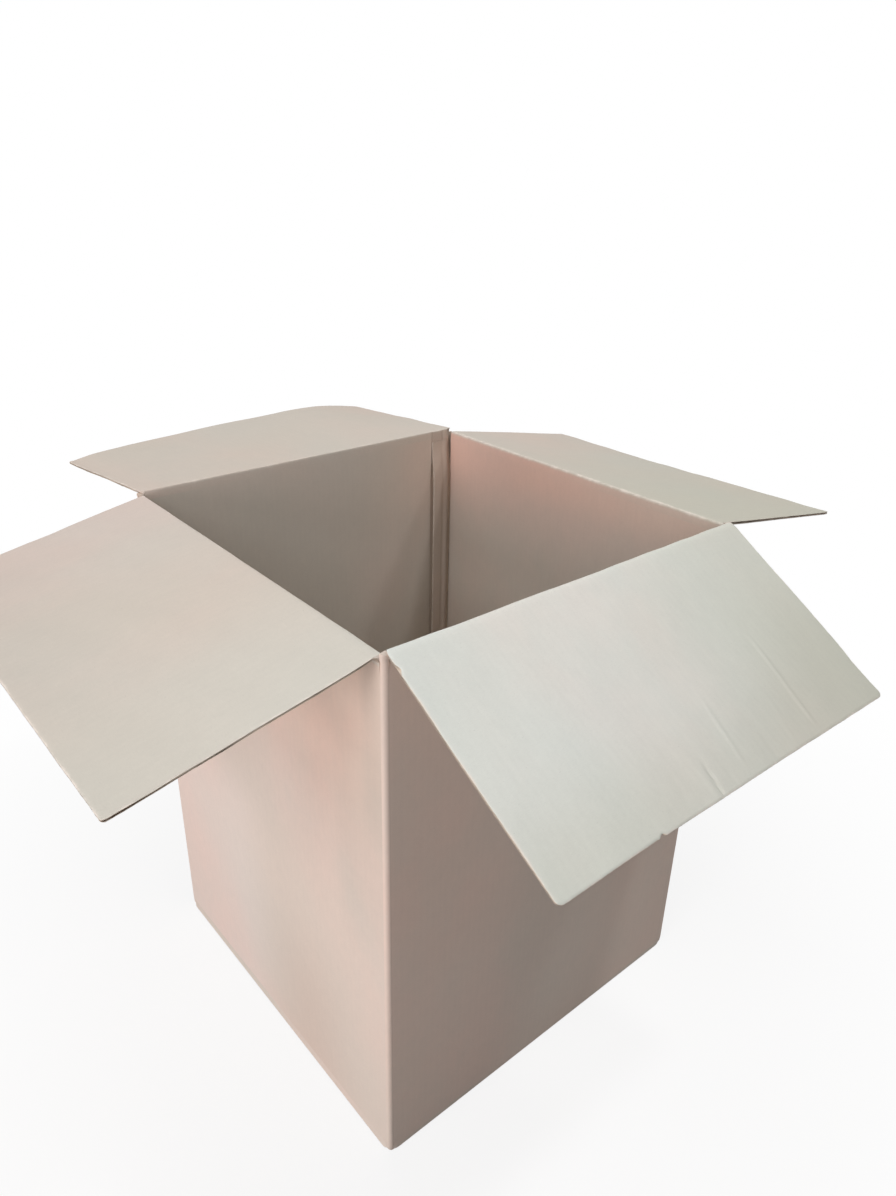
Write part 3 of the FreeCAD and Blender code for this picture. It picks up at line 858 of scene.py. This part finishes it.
def flap_point(side, across, outward, height):
    angle = droop(side, across)
    return turned(side, across, outward * np.cos(angle) + height * np.sin(angle),
                  HINGES[side][2] + height * np.cos(angle) - outward * np.sin(angle))


def rounded_tips(half, low_radius, high_radius):
    """How far a free edge is cut back towards its two rounded tips."""
    def cut(across):
        total = 0 * across
        for gap, radius in ((across + half, low_radius), (half - across, high_radius)):
            inside = np.clip(radius - gap, 0, radius)
            total = total + radius - np.sqrt(np.maximum(radius**2 - inside**2, 0))
        return total
    return cut


def notch(x, centre, width, depth, softness=0.0006):
    """A bite out of an edge, with steep ends."""
    return depth * smooth((width / 2 - np.abs(x - centre)) / softness + 0.5)


# The radii of each top flap's low and high tips, as shares of the usual one
TIPS = {"front": (1.3, 1.2), "left": (1.1, 1.0), "back": (0.7, 1.9), "right": (1.0, 0.9)}


def flap_outline(side):
    """How far the low edge, the high edge and the free edge of a top flap are cut back."""
    low_line, high_line, free_line = (np.array(line, float).T * MM for line in OUTLINES[side])
    tips = rounded_tips(half_flap(side), *(share * sizes().tip for share in TIPS[side]))

    def low(t):
        return np.interp(t, *low_line) + sum(notch(t, *nick) for nick in NICKS.get(side, ()))

    def high(t):
        ragged = 0.0004 * wander(t, 0 * t, 71, 0.012, 0.002) * notch(t, 0.0165, 0.012, 1.0, 0.004)
        return np.interp(t, *high_line) + (ragged if side == "front" else 0)

    def free(s):
        bite = notch(s, 0.1215, 0.0045, 0.0024) + 0.0009 * smooth((s - 0.124) / 0.004) if side == "front" else 0
        return np.interp(s, *free_line) + tips(s) + bite

    return low, high, free


def flap_relief(side):
    """Wrinkles pressed into the inner face of a flap, along its flutes."""
    def relief(across, along):
        total = 0.00004 * wander(across, 0.35 * along, 300 + len(side), 0.05, 0.008, 8) * smooth(along / 0.03)
        for s0, s1, t0, t1, width, height in WRINKLES.get(side, ()):
            share = np.clip((along - t0) / (t1 - t0), 0, 1)
            centre = s0 + (s1 - s0) * share
            window = smooth((along - t0) / 0.022) * smooth((t1 - along) / 0.014 + 0.5)
            total = total + height * np.exp(-((across - centre) / width) ** 2) * window
        return np.minimum(total, 0.0009)
    return relief


def flap_underside(across, along):
    return tinted((0.4 + 0.4 * wander(across, along, 341, 0.6, 0.2, 5), 0.04, -0.01, -0.04))


def flap_lift(number):
    def lift(across, along):
        away = smooth((along - sizes().fold_reach) / 0.05)
        return 0.00055 * away * wander(across, along, 330 + number, 0.30, 0.06, 6)
    return lift


def flap_tint(side):
    """Slow changes of the inner liner's colour, and painted cool light on the front flap, brightest towards its
    left end.
    """
    def tint(across, along):
        half = HALF_WIDTHS[side]
        cloud = wander(across, along, 350 + len(side), 0.5, 0.15, 5)
        changes = [(0.010 * cloud, 1.0, -0.4, -1.0)]
        if side == "front":
            # Painted cool light: the front flap is lighter and cooler towards its left end and near its fold,
            # fading to the right and outward
            painted_light_share = smooth((across + 0.95 * half) / (1.25 * half)) * (1 - 0.5 * smooth((along - 0.12) / 0.1))
            outer_part = smooth(along / 0.21)
            changes += [(painted_light_share, 0.16, 0.31, 0.39), ((1 - painted_light_share) * (1 - outer_part), 0.06, 0.18, 0.20),
                        ((1 - painted_light_share) * outer_part, -0.04, 0.04, 0.02)]
        if side == "left":
            changes += [(smooth((along - 0.10) / 0.12), -0.05, -0.04, -0.04),
                        (smooth(across / half), 0.0, -0.02, 0.0), (smooth(-across / half), 0.02, 0.06, 0.07)]
        if side == "right":
            changes += [(smooth(0.5 + across / half / 2), -0.09, -0.04, -0.07)]
        return tinted(*changes)
    return tint


def make_top_flaps():
    size = sizes()
    for number, side in enumerate(TURNS):
        board = Board(partial(flap_point, side), half_flap(side), size.fold_reach, flap_depth(side),
                      20 + 10 * number, (PATCH_STEP * number, 0.0), 0.0021 if side == "front" else 0.0045,
                      *flap_outline(side), flap_lift(number), flap_relief(side),
                      tints=(flap_underside, flap_tint(side)))
        dressed(board.make(f"top_flap_board_{side}"), f"{side}_flap", [f"top_flap_{side}"])


def rounded_path(start, corner, end, sharpness, count):
    """A curve that leaves start and reaches end along the lines to the corner, nearer the corner if sharper."""
    u = np.linspace(0, 1, count)[:, None]
    weights = (1 - u)**2, 2 * u * (1 - u) * sharpness, u**2
    return (weights[0] * start + weights[1] * corner + weights[2] * end) / sum(weights)


# How sharply the inner liner turns at each fold: share of the fold's length, 1 for round and more for crisp
CRISPNESS = {"back": [(0, 6.0), (0.5, 8.0), (1, 8.0)], "left": [(0, 2.4), (0.5, 4.5), (1, 8.0)],
             "front": [(0, 1.1), (0.5, 1.05), (1, 1.25)], "right": [(0, 3.0), (0.5, 3.2), (1, 3.4)]}


CORE_LEVEL = 0.0006  # how far the crushed board of a fold lies above the outer face


def fold_skin(side, inner):
    """The liner that runs from a wall over the crushed fold into its flap: the inner one rolls over the rim."""
    size = sizes()
    half, reach, board = half_flap(side), size.fold_reach, size.board
    stations = spaced(-half, half, 0.006)
    if side == "back":
        stations = np.sort(np.append(stations, tab_edge() + SEAM_STATIONS))
    number = NUMBERS[side]
    low_cut, high_cut, _ = flap_outline(side)
    sections, places, wear = [], [], []
    skin, core, ridge_width = (INSIDE, CORE_LEVEL, 0.0022) if inner else (OUTSIDE, size.liner, 0.0012)
    for s in stations:
        angle = float(droop(side, np.array(s)))
        out, up = np.array([math.cos(angle), -math.sin(angle)]), np.array([math.sin(angle), math.cos(angle)])
        uneven = 1 + 0.12 * float(wander(np.array(s), np.array(0.0), 400 + number, 0.25, 0.03, 6))
        if inner:
            start, end = np.array([-board, -reach]), out * reach + up * board
            corner = end - out * (board + end[0]) / out[0]
            crisp = float(through(CRISPNESS[side], s / (2 * half) + 0.5))
            path = rounded_path(start, corner, end, crisp * uneven, 21)
        else:
            start, end = np.array([0.0, -reach]), out * reach
            close = 0.22 * uneven
            path = np.concatenate([[start], rounded_path(start * close, np.zeros(2), end * close, 0.7, 9), [end]])
        step = np.gradient(path, axis=0)
        normal = np.stack([-step[:, 1], step[:, 0]], 1)
        normal /= np.linalg.norm(normal, axis=1)[:, None]
        if inner and side == "back":
            # The tab's ridges carry on above it and fade over the fold
            fading = 1 - smooth((np.linspace(0, 1, len(path)) - 0.3) / 0.25)
            path = path - normal * (carved(s, HINGES["back"][2]) * fading)[:, None]
        # Towards the flap the ends keep to its cut outline and are pinched like its edges
        flapward = smooth(np.linspace(-0.5, 1.1, len(path)))
        rise, drop = pinched(half - abs(s))
        path = path + up * ((-drop if inner else rise) * flapward)[:, None]
        cut = low_cut(np.array(reach)) if s < 0 else -high_cut(np.array(reach))
        shift = cut * near(half - abs(s), PULL_REACH) * flapward
        # The crushed board lies between the inner liner and the outer one, which has its own piece
        if inner:
            core_start, core_end = np.array([-CORE_LEVEL, -reach]), out * reach + up * (rise + CORE_LEVEL)
            below = rounded_path(core_start, (core_start * [1, 0] + core_end * [0, 1]) * 0.5, core_end, 1.0, 21)
        else:
            below = path + normal * size.liner
        loop = np.concatenate([path, below[::-1]])
        run = np.concatenate([[0], np.cumsum(np.linalg.norm(np.diff(path, axis=0), axis=1))])
        run = (run / run[-1] * 2 - 1) * reach
        sections.append(turned(side, s + np.concatenate([shift, shift[::-1]]), loop[:, 0],
                               HINGES[side][2] + loop[:, 1]))
        run = np.concatenate([run, run[::-1]])
        level = np.repeat([board if inner else 0.0, core], len(path))
        places.append(stacked(s + PATCH_STEP * number, run, level))
        rub = wander(np.full(len(run), s), run, 420 + number, 0.07, 0.004, 9)
        # The ridge of each fold is paled with the wear colour where the crushed paper rubs; along the right fold it
        # is twice as strong, and the extra part is a painted highlight
        ridge = np.exp(-(run / ridge_width) ** 2)
        wear.append(np.clip(ridge * ((0.6 if side == "right" else 0.3) + 0.3 * rub), 0, 1))
    count = len(sections[0])
    kinds = [skin] * (count // 2 - 1) + [CUT] + [FLUTING] * (count // 2 - 1) + [CUT]
    shell = Shell()
    if inner:
        wear[0] = wear[-1] = np.full(count, 0.5)
    shell.swept(np.array(sections), np.array(places), kinds, np.array(wear),
                fold_tint(side, stations, count // 2) if inner else 1.0)
    made = shell.make(f"fold_{'inner' if inner else 'outer'}_{side}", finishes(), 60.0)
    # The direction across the fold in which the liner goes over from the wall to the flap
    lean = float(droop(side, np.array(0.0))) / 2
    heading, span = (math.radians(45) - lean, 0.0044 - 0.004 * lean) if inner else (math.radians(40), 0.0005)
    way = np.array([math.cos(heading), math.sin(heading)])
    ends = [turned(side, 0.0, way[0] * d, HINGES[side][2] + way[1] * d) for d in (-span, span)]
    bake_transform(made)


def fold_tint(side, stations, count):
    """Carries the inner liner's colour over the fold, with the wall's painted light and shade, from the wall's to
    the flap's.
    """
    wall = inside_painted_light_and_shade(np.full(len(stations), NUMBERS[side]), stations, np.full(len(stations), wall_top(side)))
    flap = flap_tint(side)(stations, np.full(len(stations), sizes().fold_reach))
    share = np.linspace(0, 1, count)
    share = smooth((np.concatenate([share, share[::-1]]) - 0.12) / 0.35)[None, :, None]
    return wall[:, None] * (1 - share) + flap[:, None] * share


# ---------------------------------------------------------------- tape

TOOTH_HEIGHT, TOOTH_PITCH = 0.0011, 0.0024  # of the tape's torn ends


def make_tape():
    low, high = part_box("bottom_tape")
    half, edge = high.x, sizes().tape_width / 2
    x, y = np.meshgrid(np.linspace(-half, half, 120), np.linspace(-edge, edge, 49), indexing="ij")
    teeth = TOOTH_HEIGHT * np.abs((y / TOOTH_PITCH) % 1 * 2 - 1)
    near_end = np.clip((np.abs(x) - half + 0.02) / 0.02, 0, 1)
    x = x - np.sign(x) * teeth * near_end
    y = y + 0.00025 * wander(x, 0 * x, 501, 0.3, 0.02, 6) * np.abs(y) / edge
    bottom, top = (stacked(x, y, level) for level in (low.z, high.z))
    shell = Shell()
    shell.sheet(bottom, top, bottom, top, (0, 0, 0))
    dressed(shell.make("seam_tape", [film_tape("packing_film")]), "carton", ["bottom_tape"])


# ---------------------------------------------------------------- stage

FLOOR = 9.0, -0.0004, 0.25  # reach, level and the grey that it gives back to the carton
FLOOR_WHITENESS = (0.25, 1.15, 0.84, 1.0)  # from and to these distances from the middle, from and to these shares
WORLD_LIGHT = 0.10
# Name, place, target, width, height, power and colour of each lamp
LAMPS = (("left_low", (-3.2, -0.9, 0.30), (0, 0, 0.30), 2.4, 0.8, 32, (0.93, 0.95, 1.0)),
         ("left_middle", (-3.2, -0.9, 1.15), (0, 0, 0.45), 2.4, 0.9, 33, (1.0, 0.85, 0.83)),
         ("left_high", (-2.4, -0.7, 2.3), (0, 0, 0.45), 1.4, 1.2, 29, (1.0, 1.0, 1.0)),
         ("right_top", (0.80, -0.9, 3.0), (0, 0, 0.4), 0.25, 0.25, 20, (1.0, 1.0, 1.0)),
         ("right_far", (1.60, -0.9, 3.0), (0, 0, 0.4), 0.35, 0.35, 15, (1.0, 1.0, 1.0)),
         ("back_top", (0.0, 0.9, 3.1), (0, 0, 0.4), 1.6, 1.6, 28, (1.0, 1.0, 1.0)))
CAMERA_PLACE = (-0.590888, -0.726654, 0.964545)
CAMERA_FORWARD, CAMERA_RIGHT = Vector((0.585445, 0.682043, -0.438260)), Vector((0.765081, -0.643611, 0.020405))
LENS = 27.075  # millimetres, on a sensor 36 mm high


def make_floor():
    mesh = bpy.data.meshes.new("floor")
    reach, level, grey = FLOOR
    mesh.from_pydata([(-reach, -reach, level), (reach, -reach, level), (reach, reach, level),
                      (-reach, reach, level)], [], [(0, 1, 2, 3)])
    made = Nodes(bpy.data.materials.new("pale_floor"))
    seen, place = made.seen(), made.add("NewGeometry").outputs["Position"]
    diffuse = made.add("BsdfDiffuse", {"Color": made.mix(seen, (grey, grey, grey, 1), (0.95, 0.95, 0.95, 1))})
    glow = made.add("Emission", {"Color": (1, 1, 1, 1), "Strength": 1.0})
    distance = made.add("VectorMath", {0: place}, operation="LENGTH").outputs["Value"]
    share = made.maths("MULTIPLY", seen, made.spread(distance, *FLOOR_WHITENESS))
    both = made.add("MixShader", {0: share, 1: diffuse.outputs[0], 2: glow.outputs[0]})
    made.set("Material Output", Surface=both.outputs[0])
    mesh.materials.append(made.owner)
    linked("floor", mesh)


def make_world():
    """An even faint light, behind a white backdrop."""
    world = bpy.data.worlds.new("studio")
    bpy.context.scene.world = world
    made = Nodes(world)
    made.set("Background", Color=(1, 1, 1, 1), Strength=made.spread(made.seen(), 0.0, 1.0, WORLD_LIGHT, 1.0))


def add_lamp(name, place, target, width, height, power, tint):
    lamp = bpy.data.lights.new(name, "AREA")
    lamp.shape = "RECTANGLE"
    lamp.size, lamp.size_y, lamp.energy, lamp.color = width, height, power, tint
    made = linked(name, lamp)
    made.location = place
    made.rotation_euler = (Vector(target) - Vector(place)).to_track_quat("-Z", "Y").to_euler()


def make_camera():
    camera = bpy.data.cameras.new("camera")
    camera.lens, camera.clip_start = LENS, 0.01
    made = linked("camera", camera)
    forward = CAMERA_FORWARD.normalized()
    right = (CAMERA_RIGHT - forward * CAMERA_RIGHT.dot(forward)).normalized()
    made.matrix_world = Matrix.Translation(CAMERA_PLACE) @ Matrix(
        (right, right.cross(forward), -forward)).transposed().to_4x4()
    bpy.context.scene.camera = made


def make_stage():
    make_floor()
    make_world()
    for lamp in LAMPS:
        add_lamp(*lamp)
    make_camera()
    bpy.context.scene.view_settings.view_transform = "Standard"


# ---------------------------------------------------------------- add-on

class CARTON_OT_walls(bpy.types.Operator):
    """Build the four walls with their rounded corners, slots and base folds"""
    bl_idname = "carton.walls"
    bl_label = "Walls"

    def execute(self, context):
        make_walls()
        return {"FINISHED"}


class CARTON_OT_bottom_flaps(bpy.types.Operator):
    """Build the four bottom flaps"""
    bl_idname = "carton.bottom_flaps"
    bl_label = "Bottom flaps"

    def execute(self, context):
        make_bottom_flaps()
        return {"FINISHED"}


class CARTON_OT_glue_tab(bpy.types.Operator):
    """Build the tab glued inside the back wall"""
    bl_idname = "carton.glue_tab"
    bl_label = "Glue tab"

    def execute(self, context):
        make_tab()
        return {"FINISHED"}


class CARTON_OT_top_flaps(bpy.types.Operator):
    """Build the four top flaps with their worn edges and wrinkles"""
    bl_idname = "carton.top_flaps"
    bl_label = "Top flaps"

    def execute(self, context):
        make_top_flaps()
        return {"FINISHED"}


class CARTON_OT_folds(bpy.types.Operator):
    """Build the paper that bends at each top flap's fold"""
    bl_idname = "carton.folds"
    bl_label = "Folds"

    def execute(self, context):
        for side in TURNS:
            fold_skin(side, True)
            fold_skin(side, False)
        return {"FINISHED"}


class CARTON_OT_tape(bpy.types.Operator):
    """Build the packing tape under the bottom seam"""
    bl_idname = "carton.tape"
    bl_label = "Tape"

    def execute(self, context):
        make_tape()
        return {"FINISHED"}


class CARTON_OT_stage(bpy.types.Operator):
    """Build the floor, the lamps, the background and the camera"""
    bl_idname = "carton.stage"
    bl_label = "Stage"

    def execute(self, context):
        make_stage()
        return {"FINISHED"}


OPERATORS = (CARTON_OT_walls, CARTON_OT_bottom_flaps, CARTON_OT_glue_tab, CARTON_OT_top_flaps, CARTON_OT_folds,
             CARTON_OT_tape, CARTON_OT_stage)


class CARTON_PT_panel(bpy.types.Panel):
    """The carton's pieces, sizes and colours"""
    bl_label = "Carton"
    bl_idname = "CARTON_PT_panel"
    bl_space_type = "VIEW_3D"
    bl_region_type = "UI"
    bl_category = "Carton"

    def draw(self, context):
        column = self.layout.column()
        for operator in OPERATORS:
            column.operator(operator.bl_idname)
        for group in (context.scene.carton_sizes, context.scene.carton_colours):
            box = self.layout.box()
            for name in group.__annotations__:
                box.prop(group, name)


CLASSES = (CartonSizes, CartonColours, *OPERATORS, CARTON_PT_panel)


def register():
    for item in CLASSES:
        bpy.utils.register_class(item)
    bpy.types.Scene.carton_sizes = bpy.props.PointerProperty(type=CartonSizes)
    bpy.types.Scene.carton_colours = bpy.props.PointerProperty(type=CartonColours)


def unregister():
    del bpy.types.Scene.carton_colours
    del bpy.types.Scene.carton_sizes
    for item in reversed(CLASSES):
        bpy.utils.unregister_class(item)


def main():
    register()
    for operator in OPERATORS:
        group, name = operator.bl_idname.split(".")
        getattr(getattr(bpy.ops, group), name)()


if __name__ == "__main__":
    main()
